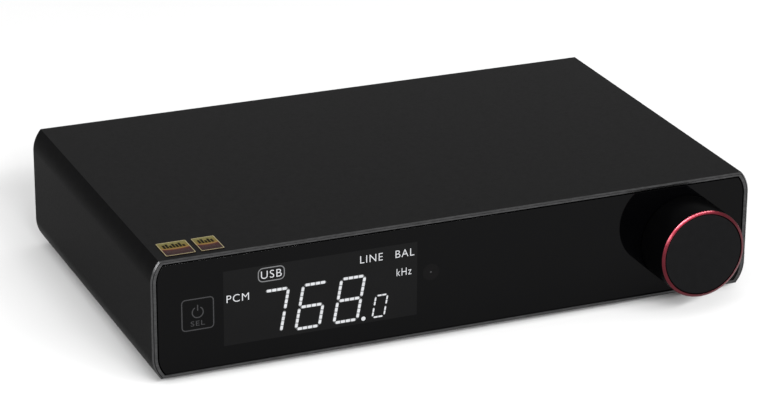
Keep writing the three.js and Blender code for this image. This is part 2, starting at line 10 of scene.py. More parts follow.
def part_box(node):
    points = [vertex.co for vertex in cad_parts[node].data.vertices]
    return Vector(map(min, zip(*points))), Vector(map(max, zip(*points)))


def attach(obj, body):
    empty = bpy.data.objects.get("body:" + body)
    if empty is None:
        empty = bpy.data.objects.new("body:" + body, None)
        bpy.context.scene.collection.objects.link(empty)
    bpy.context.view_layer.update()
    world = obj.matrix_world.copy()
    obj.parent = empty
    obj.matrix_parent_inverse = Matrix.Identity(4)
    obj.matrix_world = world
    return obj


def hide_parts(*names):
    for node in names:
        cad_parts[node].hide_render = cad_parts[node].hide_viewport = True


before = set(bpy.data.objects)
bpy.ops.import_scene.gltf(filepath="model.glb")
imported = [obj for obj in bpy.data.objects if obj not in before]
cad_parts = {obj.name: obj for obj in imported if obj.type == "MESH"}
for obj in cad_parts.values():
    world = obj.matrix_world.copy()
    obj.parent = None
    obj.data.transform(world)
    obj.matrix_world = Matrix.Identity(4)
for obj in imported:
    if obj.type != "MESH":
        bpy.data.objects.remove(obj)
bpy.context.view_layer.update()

MM = 0.001

# ---- Places from the frame, and measures that several pieces share ----

SLEEVE_LO, SLEEVE_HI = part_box("casing_sleeve")
FRONT_Y, BACK_Y = SLEEVE_LO.y, SLEEVE_HI.y
TOP_Z = SLEEVE_HI.z
CASE_W = SLEEVE_HI.x - SLEEVE_LO.x
CASE_H = SLEEVE_HI.z - SLEEVE_LO.z
CASE_MID = (SLEEVE_LO + SLEEVE_HI) / 2
LENS_LO, LENS_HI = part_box("front_lens")
PANEL_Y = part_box("rear_panel")[1].y
KNOB_LO, KNOB_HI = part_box("knob_body")
KNOB_X = (KNOB_LO.x + KNOB_HI.x) / 2
KNOB_R = (KNOB_HI.x - KNOB_LO.x) / 2
KNOB_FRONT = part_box("knob_ring")[0].y
KNOB_BACK = KNOB_HI.y
KNOB_AXIS = (KNOB_X, 0, CASE_MID.z)
KNOB_FACE_MID = (KNOB_X, KNOB_FRONT, CASE_MID.z)

# The sleeve's rounded long edges: height of the rounded stretch and how far it brings the side in
CORNER_RISE = 7.3 * MM
CORNER_INSET = 2.75 * MM
CORNER_SWEEP = 2 * math.atan(CORNER_INSET / CORNER_RISE)
CORNER_R = CORNER_RISE / math.sin(CORNER_SWEEP)
WALL = 2 * MM

# The bright rim round the front: its width at the sides and at the top, and its outer chamfer
RIM_SIDE = 1.7 * MM
RIM_TOP = 1.25 * MM
RIM_CHAMFER = 0.45 * MM

# How far print and lit lamps stand proud, and how thick a printed film is
PRINT_T = 0.03 * MM
FILM_T = 0.012 * MM

# Edges that bend more than the first angle are shaded sharp. On the front glass and the rear plate,
# only edges that bend more than the second one are rounded.
SHARP_ANGLE = math.radians(32)
PLATE_ANGLE = math.radians(60)

# Points closer than this are joined
WELD = 1e-7


# ---- Camera, light and floor ----

def make_camera():
    """The camera that was fitted to the photograph; it looks a little beside the casing's middle."""
    azimuth = math.radians(-22.964)
    elevation = math.radians(21.926)
    roll = math.radians(0.387)
    distance = 977.98 * MM
    lens_mm, sensor_mm = 139.12, 36
    target = CASE_MID + Vector((1.57 * MM, 0, -1.34 * MM))
    back = Vector((
        math.sin(azimuth) * math.cos(elevation),
        -math.cos(azimuth) * math.cos(elevation),
        math.sin(elevation),
    ))
    right = (-back).cross(Vector((0, 0, 1))).normalized()
    up = right.cross(-back)
    tilt = Matrix.Rotation(roll, 3, back)
    right, up = tilt @ right, tilt @ up
    data = bpy.data.cameras.new("camera")
    data.sensor_width = sensor_mm
    data.lens = lens_mm
    data.clip_start = 0.01
    camera = bpy.data.objects.new("camera", data)
    rotation = Matrix((right, up, back)).transposed().to_4x4()
    camera.matrix_world = Matrix.Translation(target + back * distance) @ rotation
    bpy.context.scene.collection.objects.link(camera)
    bpy.context.scene.camera = camera


def area_light(name, place, aim, size, power, turn):
    """A rectangular light that faces aim, turned by some degrees round its own axis."""
    data = bpy.data.lights.new(name, "AREA")
    data.shape = "RECTANGLE"
    data.size, data.size_y = size
    data.energy = power
    light = bpy.data.objects.new(name, data)
    light.location = place
    look = (Vector(aim) - Vector(place)).to_track_quat("-Z", "Y")
    light.rotation_euler = (look @ Quaternion((0, 0, 1), math.radians(turn))).to_euler()
    bpy.context.scene.collection.objects.link(light)


def make_world(strength):
    world = bpy.data.worlds.new("light_tent")
    world.use_nodes = True
    background = world.node_tree.nodes["Background"]
    background.inputs["Color"].default_value = (1, 1, 1, 1)
    background.inputs["Strength"].default_value = strength
    bpy.context.scene.world = world


# Name, place, aim, size, power in watts and turn in degrees. The knob's red ring mirrors the first
# three, which also light the top and the front. The last one lights the left side.
LIGHTS = (
    ("long_strip", (0.62, -1.2, 0.87), KNOB_FACE_MID, (0.95, 0.09), 14, 0),
    ("slanted_strip", (-0.1, -1.2, 0.65), KNOB_FACE_MID, (0.6, 0.07), 18, 32),
    ("low_light", (-0.44, -1.02, 0.2), KNOB_FACE_MID, (0.35, 0.26), 5.2, 0),
    ("side_light", (-1.07, -0.63, 0.56), (SLEEVE_LO.x, FRONT_Y, TOP_Z), (0.22, 0.7), 5, 0),
)
WORLD_STRENGTH = 1.0

FLOOR_RADIUS = 6
FLOOR_DROP = 0.02 * MM


def make_floor():
    bm = bmesh.new()
    bmesh.ops.create_circle(bm, cap_ends=True, segments=96, radius=FLOOR_RADIUS)
    bmesh.ops.translate(bm, verts=bm.verts, vec=(0, 0, -FLOOR_DROP))
    mesh = bpy.data.meshes.new("floor")
    bm.to_mesh(mesh)
    bm.free()
    floor = bpy.data.objects.new("floor", mesh)
    bpy.context.scene.collection.objects.link(floor)
    paper = Finish("floor_paper", (0.64, 0.64, 0.64), 0.9, specular=0.1)
    paper.mottle(scale=3, amount=0.01)
    mesh.materials.append(paper.material)


# ---- Materials ----

class Finish:
    """A procedural surface: uniform values sit on the shader, and texture nodes vary them."""

    def __init__(self, name, colour, roughness, metallic=0.0, specular=0.5):
        self.material = bpy.data.materials.new(name)
        self.material.use_nodes = True
        self.nodes = self.material.node_tree.nodes
        self.links = self.material.node_tree.links
        self.shader = self.nodes["Principled BSDF"]
        self.colour = colour
        self.roughness = roughness
        self.shader.inputs["Base Color"].default_value = (*colour, 1)
        self.shader.inputs["Roughness"].default_value = roughness
        self.shader.inputs["Metallic"].default_value = metallic
        self.shader.inputs["Specular IOR Level"].default_value = specular
        self.material.diffuse_color = (*colour, 1)

    def coordinates(self, stretch=(1, 1, 1)):
        """Where a point lies on the object, in metres, stretched along each axis."""
        place = self.nodes.new("ShaderNodeTexCoord")
        mapping = self.nodes.new("ShaderNodeMapping")
        mapping.inputs["Scale"].default_value = stretch
        self.links.new(place.outputs["Object"], mapping.inputs["Vector"])
        return mapping.outputs["Vector"]

    def noise(self, scale, detail=2.0, stretch=(1, 1, 1)):
        texture = self.nodes.new("ShaderNodeTexNoise")
        texture.inputs["Scale"].default_value = scale
        texture.inputs["Detail"].default_value = detail
        self.links.new(self.coordinates(stretch), texture.inputs["Vector"])
        return texture.outputs["Fac"]

    def mottle(self, scale, amount, stretch=(1, 1, 1)):
        """Colour drifts a little lighter and darker."""
        ramp = self.nodes.new("ShaderNodeValToRGB")
        low, high = ramp.color_ramp.elements
        low.position, high.position = 0.3, 0.7
        low.color = (*(c * (1 - amount) for c in self.colour), 1)
        high.color = (*(min(1, c * (1 + amount)) for c in self.colour), 1)
        self.links.new(self.noise(scale, 3, stretch), ramp.inputs["Fac"])
        self.links.new(ramp.outputs["Color"], self.shader.inputs["Base Color"])
        return self

    def sheen_drift(self, scale, spread, stretch=(1, 1, 1)):
        """Roughness drifts round its own value."""
        remap = self.nodes.new("ShaderNodeMapRange")
        remap.inputs["From Min"].default_value = 0.3
        remap.inputs["From Max"].default_value = 0.7
        remap.inputs["To Min"].default_value = max(0.02, self.roughness - spread)
        remap.inputs["To Max"].default_value = self.roughness + spread
        self.links.new(self.noise(scale, 2, stretch), remap.inputs["Value"])
        self.links.new(remap.outputs["Result"], self.shader.inputs["Roughness"])
        return self

    def bump(self, height, strength, distance):
        """Relief from a height output."""
        node = self.nodes.new("ShaderNodeBump")
        node.inputs["Strength"].default_value = strength
        node.inputs["Distance"].default_value = distance
        self.links.new(height, node.inputs["Height"])
        self.links.new(node.outputs["Normal"], self.shader.inputs["Normal"])
        return self

    def grain(self, size, strength, depth, stretch=(1, 1, 1)):
        """Fine random relief with grains about size across."""
        return self.bump(self.noise(1 / size, 1, stretch), strength, depth)

    def grooves(self, pitch, strength, depth, centre):
        """Concentric turning marks round an axis along Y through centre.

        At a scale of 1, the wave texture's rings are 2 pi / 20 apart.
        """
        place = self.nodes.new("ShaderNodeTexCoord")
        shift = self.nodes.new("ShaderNodeVectorMath")
        shift.operation = "SUBTRACT"
        shift.inputs[1].default_value = centre
        wave = self.nodes.new("ShaderNodeTexWave")
        wave.wave_type = "RINGS"
        wave.rings_direction = "Y"
        wave.inputs["Scale"].default_value = 2 * math.pi / 20 / pitch
        wave.inputs["Distortion"].default_value = 0.6
        wave.inputs["Detail"].default_value = 1
        self.links.new(place.outputs["Object"], shift.inputs[0])
        self.links.new(shift.outputs["Vector"], wave.inputs["Vector"])
        return self.bump(wave.outputs["Fac"], strength, depth)


LAMP_WHITE = (0.95, 0.97, 1.0)


def glow(name, strength):
    """A lit white surface whose brightness varies a little from lamp to lamp."""
    lit = Finish(name, (0.02, 0.02, 0.02), 0.5, specular=0.1)
    ramp = lit.nodes.new("ShaderNodeValToRGB")
    low, high = ramp.color_ramp.elements
    low.position, high.position = 0.3, 0.6
    low.color = (*(c * 0.86 for c in LAMP_WHITE), 1)
    high.color = (*LAMP_WHITE, 1)
    lit.links.new(lit.noise(900, 1), ramp.inputs["Fac"])
    lit.links.new(ramp.outputs["Color"], lit.shader.inputs["Emission Color"])
    lit.shader.inputs["Emission Strength"].default_value = strength
    return lit


def anodised(name, colour, specular):
    finish = Finish(name, colour, 0.32, specular=specular)
    return finish.mottle(400, 0.15).sheen_drift(900, 0.04).grain(0.16 * MM, 0.2, 0.02 * MM)


CASING = anodised("anodised_black", (0.0038, 0.0038, 0.0039), 0.0079)
# A darker copy of the same anodised black for the casing's sides and rounded edges: painted shade
PAINTED_SHADE_FLANK = anodised("anodised_flank_painted_shade", (0.0024, 0.0024, 0.0025), 0.0044)

PANEL = Finish("anodised_panel", (0.011, 0.011, 0.0115), 0.42, specular=0.06)
PANEL.mottle(400, 0.12).sheen_drift(900, 0.04).grain(0.16 * MM, 0.25, 0.02 * MM)

RIM = Finish("machined_rim", (0.056, 0.056, 0.057), 0.26, metallic=1.0)
RIM.mottle(2500, 0.25, (0.2, 1, 1)).grain(0.1 * MM, 0.3, 0.01 * MM, (0.15, 1, 1))

GLOSS = Finish("gloss_panel", (0.0004, 0.0004, 0.0005), 0.04, specular=0.073)
GLOSS.mottle(60, 0.08).sheen_drift(250, 0.02).grain(4 * MM, 0.03, 0.01 * MM)

WINDOW = Finish("display_window", (0.0018, 0.0018, 0.0019), 0.05, specular=0.083)
WINDOW.mottle(80, 0.1).sheen_drift(300, 0.02).grain(4 * MM, 0.03, 0.01 * MM)

KNOB_SIDE = Finish("knob_side", (0.0008, 0.0008, 0.0009), 0.34, specular=0.007)
KNOB_SIDE.mottle(900, 0.2, (1, 8, 1)).grain(0.12 * MM, 0.2, 0.01 * MM, (0.2, 3, 0.2))

KNOB_FACE = Finish("knob_face", (0.0028, 0.0028, 0.003), 0.45, specular=0.035)
KNOB_FACE.mottle(500, 0.1).grooves(0.22 * MM, 0.12, 0.01 * MM, KNOB_AXIS)

RING = Finish("red_anodised", (0.08, 0.005, 0.0105), 0.27, metallic=1.0)
RING.shader.inputs["Coat Weight"].default_value = 0.25
RING.shader.inputs["Coat Roughness"].default_value = 0.16
RING.mottle(700, 0.1).grooves(0.12 * MM, 0.02, 0.002 * MM, KNOB_AXIS)

PRINT = Finish("grey_print", (0.018, 0.018, 0.019), 0.5, specular=0.1)
PRINT.mottle(3000, 0.15).grain(0.1 * MM, 0.2, 0.005 * MM)

INFRARED = Finish("infrared_spot", (0.0010, 0.0009, 0.0010), 0.1, specular=0.08)
INFRARED.mottle(1500, 0.2).grain(0.5 * MM, 0.1, 0.01 * MM)

LIT = glow("lit_lamps", 0.82)
DIM = glow("lamp_glow", 0.2)

NICKEL = Finish("nickel_plate", (0.56, 0.55, 0.52), 0.24, metallic=1.0)
NICKEL.mottle(300, 0.06).sheen_drift(500, 0.06).grain(0.2 * MM, 0.08, 0.01 * MM)

GOLD = Finish("gold_plate", (0.78, 0.52, 0.16), 0.22, metallic=1.0)
GOLD.mottle(300, 0.06).sheen_drift(500, 0.05).grain(0.2 * MM, 0.08, 0.01 * MM)

SCREW = Finish("black_oxide", (0.03, 0.03, 0.032), 0.38, metallic=0.8)
SCREW.mottle(1200, 0.3).sheen_drift(900, 0.08).grain(0.12 * MM, 0.2, 0.01 * MM)

RUBBER = Finish("foot_rubber", (0.012, 0.012, 0.012), 0.85, specular=0.2)
RUBBER.mottle(700, 0.25).grain(0.25 * MM, 0.5, 0.04 * MM)


def moulded(name, colour, roughness=0.5):
    plastic = Finish(name, colour, roughness, specular=0.35)
    return plastic.mottle(500, 0.12).sheen_drift(400, 0.05).grain(0.25 * MM, 0.25, 0.02 * MM)


BLACK_PLASTIC = moulded("black_plastic", (0.014, 0.014, 0.015))
WHITE_PLASTIC = moulded("white_plastic", (0.72, 0.71, 0.68), 0.4)
RED_PLASTIC = moulded("red_plastic", (0.48, 0.018, 0.015), 0.4)
ORANGE_PLASTIC = moulded("orange_plastic", (0.62, 0.15, 0.015), 0.4)
CHIP = moulded("chip_moulding", (0.016, 0.016, 0.017), 0.6)
SLEEVED_CAN = moulded("capacitor_sleeve", (0.012, 0.014, 0.02), 0.35)
TRANSFORMER = moulded("transformer_tape", (0.3, 0.24, 0.06), 0.5)
FRAME_METAL = Finish("satin_frame", (0.02, 0.02, 0.02), 0.4, metallic=0.5)
FRAME_METAL.mottle(500, 0.2).grain(0.15 * MM, 0.2, 0.01 * MM)
RIBBON = moulded("ribbon", (0.34, 0.35, 0.37), 0.5)


def circuit_board():
    board = Finish("circuit_board", (0.012, 0.09, 0.035), 0.35)
    bricks = board.nodes.new("ShaderNodeTexBrick")
    bricks.inputs["Scale"].default_value = 260
    bricks.inputs["Mortar Size"].default_value = 0.03
    bricks.inputs["Color1"].default_value = (0.010, 0.075, 0.030, 1)
    bricks.inputs["Color2"].default_value = (0.014, 0.105, 0.040, 1)
    bricks.inputs["Mortar"].default_value = (0.03, 0.17, 0.07, 1)
    board.links.new(board.coordinates(), bricks.inputs["Vector"])
    board.links.new(bricks.outputs["Color"], board.shader.inputs["Base Color"])
    return board.bump(bricks.outputs["Fac"], 0.3, 0.03 * MM)


BOARD = circuit_board()


# ---- Mesh building ----

def welded_mesh(name, verts, faces):
    """A mesh with its doubled points joined and its faces turned outwards."""
    mesh = bpy.data.meshes.new(name)
    mesh.from_pydata([tuple(v) for v in verts], [], faces)
    bm = bmesh.new()
    bm.from_mesh(mesh)
    bmesh.ops.remove_doubles(bm, verts=bm.verts, dist=WELD)
    bmesh.ops.recalc_face_normals(bm, faces=bm.faces)
    bm.to_mesh(mesh)
    bm.free()
    return mesh


def evaluated_mesh(obj):
    """The mesh of obj with its modifiers or its font applied."""
    bpy.context.view_layer.update()
    depsgraph = bpy.context.evaluated_depsgraph_get()
    return bpy.data.meshes.new_from_object(obj.evaluated_get(depsgraph))


def shade(mesh):
    mesh.shade_smooth()
    mesh.set_sharp_from_angle(angle=SHARP_ANGLE)


def piece(name, verts, faces, finish, body="chassis", replaces=None, slot=None):
    obj = bpy.data.objects.new(name, welded_mesh(name, verts, faces))
    return settle(obj, finish, body, replaces)


def settle(obj, finish, body="chassis", replaces=None):
    """Gives obj its shading, material and body, and hides the node that it stands for."""
    bpy.context.scene.collection.objects.link(obj)
    shade(obj.data)
    obj.data.materials.clear()
    obj.data.materials.append(finish.material)
    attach(obj, body)
    if replaces:
        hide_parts(replaces)
    return obj


def soften(obj, width, segments=3, angle=SHARP_ANGLE):
    """Rounds the edges where faces meet at more than the angle."""
    bevel = obj.modifiers.new("soften", "BEVEL")
    bevel.width = width
    bevel.segments = segments
    bevel.limit_method = "ANGLE"
    bevel.angle_limit = angle
    bevel.harden_normals = True
    return obj


def fillet(points, radius, steps=5, closed=True):
    """Rounds the corners of a 2D outline, as far as its sides allow."""
    nearly_straight = math.pi - 0.02
    most_of_a_side = 0.49
    rounded = []
    count = len(points)
    for i, corner in enumerate(points):
        here = Vector(corner)
        if not closed and i in (0, count - 1):
            rounded.append(here)
            continue
        before = Vector(points[i - 1]) - here
        after = Vector(points[(i + 1) % count]) - here
        angle = before.angle(after)
        if angle > nearly_straight:
            rounded.append(here)
            continue
        limit = most_of_a_side * min(before.length, after.length)
        reach = min(radius / math.tan(angle / 2), limit)
        start = here + before.normalized() * reach
        end = here + after.normalized() * reach
        turn = math.pi - angle
        bow = reach * math.tan(angle / 2)
        inwards = (before.normalized() + after.normalized()).normalized()
        middle = here + inwards * math.hypot(reach, bow)
        for k in range(steps + 1):
            share = k / steps
            from_start = (start - middle) * math.sin((1 - share) * turn)
            from_end = (end - middle) * math.sin(share * turn)
            rounded.append(middle + (from_start + from_end) / math.sin(turn))
    return rounded


def lathe(profile, centre, steps=96, closed=False):
    """Turns (radius, y) points round an axis along Y through centre, an (x, z) point."""
    verts, rings = [], []
    for radius, y in profile:
        if radius < 1e-9:
            rings.append([len(verts)] * steps)
            verts.append((centre[0], y, centre[1]))
            continue
        rings.append(list(range(len(verts), len(verts) + steps)))
        for k in range(steps):
            turn = 2 * math.pi * k / steps
            verts.append((centre[0] + radius * math.cos(turn), y, centre[1] + radius * math.sin(turn)))
    pairs = list(zip(rings, rings[1:]))
    if closed:
        pairs.append((rings[-1], rings[0]))
    return verts, bridge(pairs, steps)


def bridge(pairs, steps):
    """Faces between pairs of point loops, with three corners where a loop is a single point."""
    faces = []
    for one, other in pairs:
        for k in range(steps):
            n = (k + 1) % steps
            ring = [one[k], one[n], other[n], other[k]]
            face = list(dict.fromkeys(ring))
            if len(face) > 2:
                faces.append(face)
    return faces


def loft(outlines, closed=False):
    """Skins equal-length outlines of (x, y, z) points, closing the ends or the loop."""
    steps = len(outlines[0])
    verts = [point for outline in outlines for point in outline]
    rings = [list(range(i * steps, (i + 1) * steps)) for i in range(len(outlines))]
    pairs = list(zip(rings, rings[1:]))
    if closed:
        pairs.append((rings[-1], rings[0]))
        return verts, bridge(pairs, steps)
    return verts, bridge(pairs, steps) + [rings[0][::-1], rings[-1]]


def inset(outline, depth):
    """Moves every side of a counter-clockwise (x, z) outline inwards by depth."""
    moved = []
    for i, corner in enumerate(outline):
        here = Vector(corner)
        before = (here - Vector(outline[i - 1])).normalized()
        after = (Vector(outline[(i + 1) % len(outline)]) - here).normalized()
        inwards = Vector((-before.y - after.y, before.x + after.x))
        moved.append(here + inwards * depth / (1 + before.dot(after)))
    return moved


def at_depth(outline, y):
    return [(x, y, z) for x, z in outline]


def plate(outline, y0, y1, edge=0.0):
    """An (x, z) outline filled between y0 and y1, with its rims rounded by edge."""
    if edge == 0:
        return loft([at_depth(outline, y0), at_depth(outline, y1)])
    steps = 3
    turns = [math.pi / 2 * k / steps for k in range(steps + 1)]
    rims = [(edge * (1 - math.sin(t)), edge * (1 - math.cos(t))) for t in turns]
    front = [at_depth(inset(outline, side), y0 + deep) for side, deep in rims]
    back = [at_depth(inset(outline, side), y1 - deep) for side, deep in reversed(rims)]
    return loft(front + back)


def band(outline, width, y0, y1):
    """A closed strip of the given width just inside an outline."""
    inner = inset(outline, width)
    loops = [at_depth(outline, y0), at_depth(inner, y0), at_depth(inner, y1), at_depth(outline, y1)]
    return loft(loops, closed=True)


def merge(*meshes):
    """Several (verts, faces) shapes as one."""
    verts, faces = [], []
    for more_verts, more_faces in meshes:
        start = len(verts)
        verts += more_verts
        faces += [[start + i for i in face] for face in more_faces]
    return verts, faces


def rectangle(x0, x1, z0, z1, radius=0.0):
    corners = [(x0, z0), (x1, z0), (x1, z1), (x0, z1)]
    return fillet(corners, radius) if radius else [Vector(c) for c in corners]


def node_rectangle(node, grow=0.0, radius=0.0):
    """The outline of a node's box as seen along Y, made larger by grow on every side."""
    lo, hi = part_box(node)
    return rectangle(lo.x - grow, hi.x + grow, lo.z - grow, hi.z + grow, radius)


def centre_of(node):
    """The middle of a node's box, as (x, z)."""
    lo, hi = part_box(node)
    return (lo.x + hi.x) / 2, (lo.z + hi.z) / 2


def circle(x, z, radius, steps=64):
    turns = [2 * math.pi * k / steps for k in range(steps)]
    return [Vector((x + radius * math.cos(t), z + radius * math.sin(t))) for t in turns]


def stadium(x, z, width, height):
    """A rectangle with fully rounded ends."""
    steps = 24
    radius = height / 2
    reach = width / 2 - radius
    turns = [math.pi * (k / steps - 0.5) for k in range(steps + 1)]
    right = [Vector((x + reach + radius * math.cos(t), z + radius * math.sin(t))) for t in turns]
    left = [Vector((x - reach - radius * math.cos(t), z - radius * math.sin(t))) for t in turns]
    return right + left


def casing_outline(side=0.0, top=0.0):
    """The casing's cross-section, drawn inside its surface by the given distances."""
    steps = 20
    radius = CORNER_R - side
    centre_x = CASE_W / 2 - CORNER_R
    centre_z = CASE_H / 2 - CORNER_RISE
    sweep = math.asin((CORNER_RISE - top) / radius)
    turns = [sweep * k / steps for k in range(steps + 1)]
    arc = [(centre_x + radius * math.cos(t), centre_z + radius * math.sin(t)) for t in turns]
    whole = arc + [(-x, z) for x, z in reversed(arc)]
    whole += [(-x, -z) for x, z in arc] + [(x, -z) for x, z in reversed(arc)]
    return [Vector((CASE_MID.x + x, CASE_MID.z + z)) for x, z in whole]


def carve(obj, *cutters):
    """Cuts closed (verts, faces) shapes out of obj."""
    for verts, faces in cutters:
        cutter = bpy.data.objects.new("cutter", welded_mesh("cutter", verts, faces))
        bpy.context.scene.collection.objects.link(cutter)
        boolean = obj.modifiers.new("carve", "BOOLEAN")
        boolean.operation = "DIFFERENCE"
        boolean.solver = "EXACT"
        boolean.object = cutter
        carved = evaluated_mesh(obj)
        obj.modifiers.remove(boolean)
        obj.data = carved
        bpy.data.objects.remove(cutter)
    shade(obj.data)
    return obj


def refine(node, finish, width, body="chassis"):
    """A copy of a CAD node, with its flat facets merged and its edges rounded, replaces the node."""
    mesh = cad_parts[node].data.copy()
    bm = bmesh.new()
    bm.from_mesh(mesh)
    bmesh.ops.remove_doubles(bm, verts=bm.verts, dist=WELD)
    bmesh.ops.dissolve_limit(bm, angle_limit=math.radians(1), verts=bm.verts, edges=bm.edges)
    bm.to_mesh(mesh)
    bm.free()
    obj = settle(bpy.data.objects.new(node + "_fine", mesh), finish, body, node)
    return soften(obj, width)


def lettering(name, text, x0, x1, z0, z1, y, finish, weight=0.0):
    """Plain upright letters that fill the given rectangle, standing PRINT_T proud of y.

    A weight below zero makes the strokes thinner.
    """
    half_depth = 0.05
    curve = bpy.data.curves.new(name, "FONT")
    curve.body = text
    curve.size = 1
    curve.offset = weight
    curve.extrude = half_depth
    curve.space_character = 1.14
    curve.resolution_u = 6
    source = bpy.data.objects.new("letters", curve)
    bpy.context.scene.collection.objects.link(source)
    mesh = evaluated_mesh(source)
    bpy.data.objects.remove(source)
    xs = [v.co.x for v in mesh.vertices]
    zs = [v.co.y for v in mesh.vertices]
    wide = (x1 - x0) / (max(xs) - min(xs))
    high = (z1 - z0) / (max(zs) - min(zs))
    left, foot = min(xs), min(zs)
    for vertex in mesh.vertices:
        across, up, out = vertex.co
        vertex.co = (
            x0 + (across - left) * wide,
            y - PRINT_T * (0.5 + out / (2 * half_depth)),
            z0 + (up - foot) * high,
        )
    return settle(bpy.data.objects.new(name, mesh), finish)


# ---- Casing ----

def make_sleeve():
    """The sleeve as rings of outline points, from the lens seat inside to the rim round the front."""
    edge = 0.08 * MM
    groove = 0.25 * MM
    slope = 0.12 * MM
    seat = LENS_HI.y
    rings = [
        at_depth(casing_outline(RIM_SIDE, RIM_TOP), seat),
        at_depth(casing_outline(WALL, WALL), seat),
        at_depth(casing_outline(WALL, WALL), BACK_Y),
        at_depth(casing_outline(edge, edge), BACK_Y),
        at_depth(casing_outline(), BACK_Y - edge),
        at_depth(casing_outline(), FRONT_Y + RIM_CHAMFER),
        at_depth(casing_outline(RIM_CHAMFER, RIM_CHAMFER), FRONT_Y),
        at_depth(casing_outline(RIM_CHAMFER + groove, RIM_CHAMFER + groove / 2), FRONT_Y),
        at_depth(casing_outline(RIM_SIDE - slope, RIM_TOP - slope), FRONT_Y + slope / 2),
        at_depth(casing_outline(RIM_SIDE, RIM_TOP), FRONT_Y + 2 * slope),
    ]
    sleeve = piece("casing_body", *loft(rings, closed=True), CASING, replaces="casing_sleeve",
                   slot="casing")
    sleeve.data.materials.append(RIM.material)
    sleeve.data.materials.append(PAINTED_SHADE_FLANK.material)
    # A band of faces lies between its own ring and the next
    rim_slot, painted_shade_slot = 1, 2
    bright_bands = (5, 7, 8)
    outer_band = 4
    sideways = 0.5
    steps = len(rings[0])
    # Sideways faces of the outer band take the darker flank copy, which paints shade on the sides and
    # rounded edges
    for face in sleeve.data.polygons:
        ring = face.index // steps
        if ring in bright_bands:
            face.material_index = rim_slot
        elif ring == outer_band and abs(face.normal.x) > sideways:
            face.material_index = painted_shade_slot


SHAFT_HOLE_R = 7.5 * MM


def make_lens():
    side = LENS_LO.x - SLEEVE_LO.x
    top = SLEEVE_HI.z - LENS_HI.z
    outline = casing_outline(side, top)
    lens = piece("front_glass", *plate(outline, LENS_LO.y, LENS_HI.y), GLOSS, replaces="front_lens",
                 slot="front_gloss")
    hole = plate(circle(KNOB_X, CASE_MID.z, SHAFT_HOLE_R), LENS_LO.y - MM, LENS_HI.y + MM)
    soften(carve(lens, hole), 0.12 * MM, 3, PLATE_ANGLE)


# ---- On the glass: window, touch key, infrared spot and lit figures ----

FACE_Y = LENS_LO.y


def make_window():
    outline = node_rectangle("display_module", 0.3 * MM, 0.3 * MM)
    piece("display_window", *plate(outline, FACE_Y - FILM_T, FACE_Y), WINDOW, slot="display")


def make_touch_key():
    """A square outline round a power symbol and a word."""
    lo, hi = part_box("touch_sensor_block")
    middle = (lo + hi) / 2
    half = (hi.x - lo.x) / 2
    outline = rectangle(middle.x - half, middle.x + half, middle.z - half, middle.z + half, 1.3 * MM)
    stroke = 0.34 * MM
    front = FACE_Y - PRINT_T
    piece("touch_key_outline", *band(outline, stroke, front, FACE_Y), PRINT, slot="display")
    radius = 1.9 * MM
    centre = Vector((middle.x, middle.z + 0.6 * MM))
    # The symbol's ring starts to the left of its stem and ends to the right of it
    first, sweep, steps = 120, 300, 48
    turns = [math.radians(first + sweep * k / steps) for k in range(steps + 1)]
    outer = [centre + Vector((math.cos(t), math.sin(t))) * radius for t in turns]
    inner = [centre + Vector((math.cos(t), math.sin(t))) * (radius - stroke) for t in turns]
    loop = plate(outer + inner[::-1], front, FACE_Y)
    stem_foot, stem_top = centre.y + 0.5 * MM, centre.y + 2.4 * MM
    stem = rectangle(centre.x - stroke / 2, centre.x + stroke / 2, stem_foot, stem_top)
    symbol = merge(loop, plate(stem, front, FACE_Y))
    piece("touch_key_symbol", *symbol, PRINT, slot="display")
    lettering("touch_key_word", "SEL", middle.x - 2.25 * MM, middle.x + 2.2 * MM,
              middle.z - 3.75 * MM, middle.z - 2.15 * MM, FACE_Y, PRINT)


def make_infrared_spot():
    """A round dark film with a small lens in its middle; the lens is light grey print, a painted
    highlight for its glint.
    """
    x, z = centre_of("infrared_receiver")
    film_r = 2.7 * MM
    piece("infrared_window", *plate(circle(x, z, film_r), FACE_Y - FILM_T, FACE_Y), INFRARED,
          slot="display")
    # The lens's light grey print is a painted highlight
    eye = [(0, FACE_Y - 0.06 * MM), (0.2 * MM, FACE_Y - 0.045 * MM), (0.34 * MM, FACE_Y), (0, FACE_Y)]
    piece("infrared_eye_painted_highlight", *lathe(eye, (x, z), 32), PRINT, slot="display")


def bar_outline(start, end, half, taper):
    """Outline of a bar whose ends narrow over a length of taper."""
    start, end = Vector(start), Vector(end)
    along = (end - start).normalized()
    across = Vector((along.y, -along.x)) * half
    cap = [(1, 0), (0.92, 0.35), (0.62, 0.8), (0.3, 1), (-0.3, 1), (-0.62, 0.8), (-0.92, 0.35), (-1, 0)]
    far = [end - along * taper * (1 - out) + across * side for side, out in cap]
    near = [start + along * taper * (1 - out) - across * side for side, out in cap]
    return far + near


# Segments a to g run clockwise from the top, with g across the middle
FIGURE_SEGMENTS = {
    "0": "abcdef", "6": "acdefg", "7": "abc", "8": "abcdefg",
}
SEGMENT_GAP = 0.32 * MM

# The gap at each end of a lamp as a share of its length, and its width as a share of the segment's
LAMP_GAP = 0.09
LAMP_WIDTH = 0.82


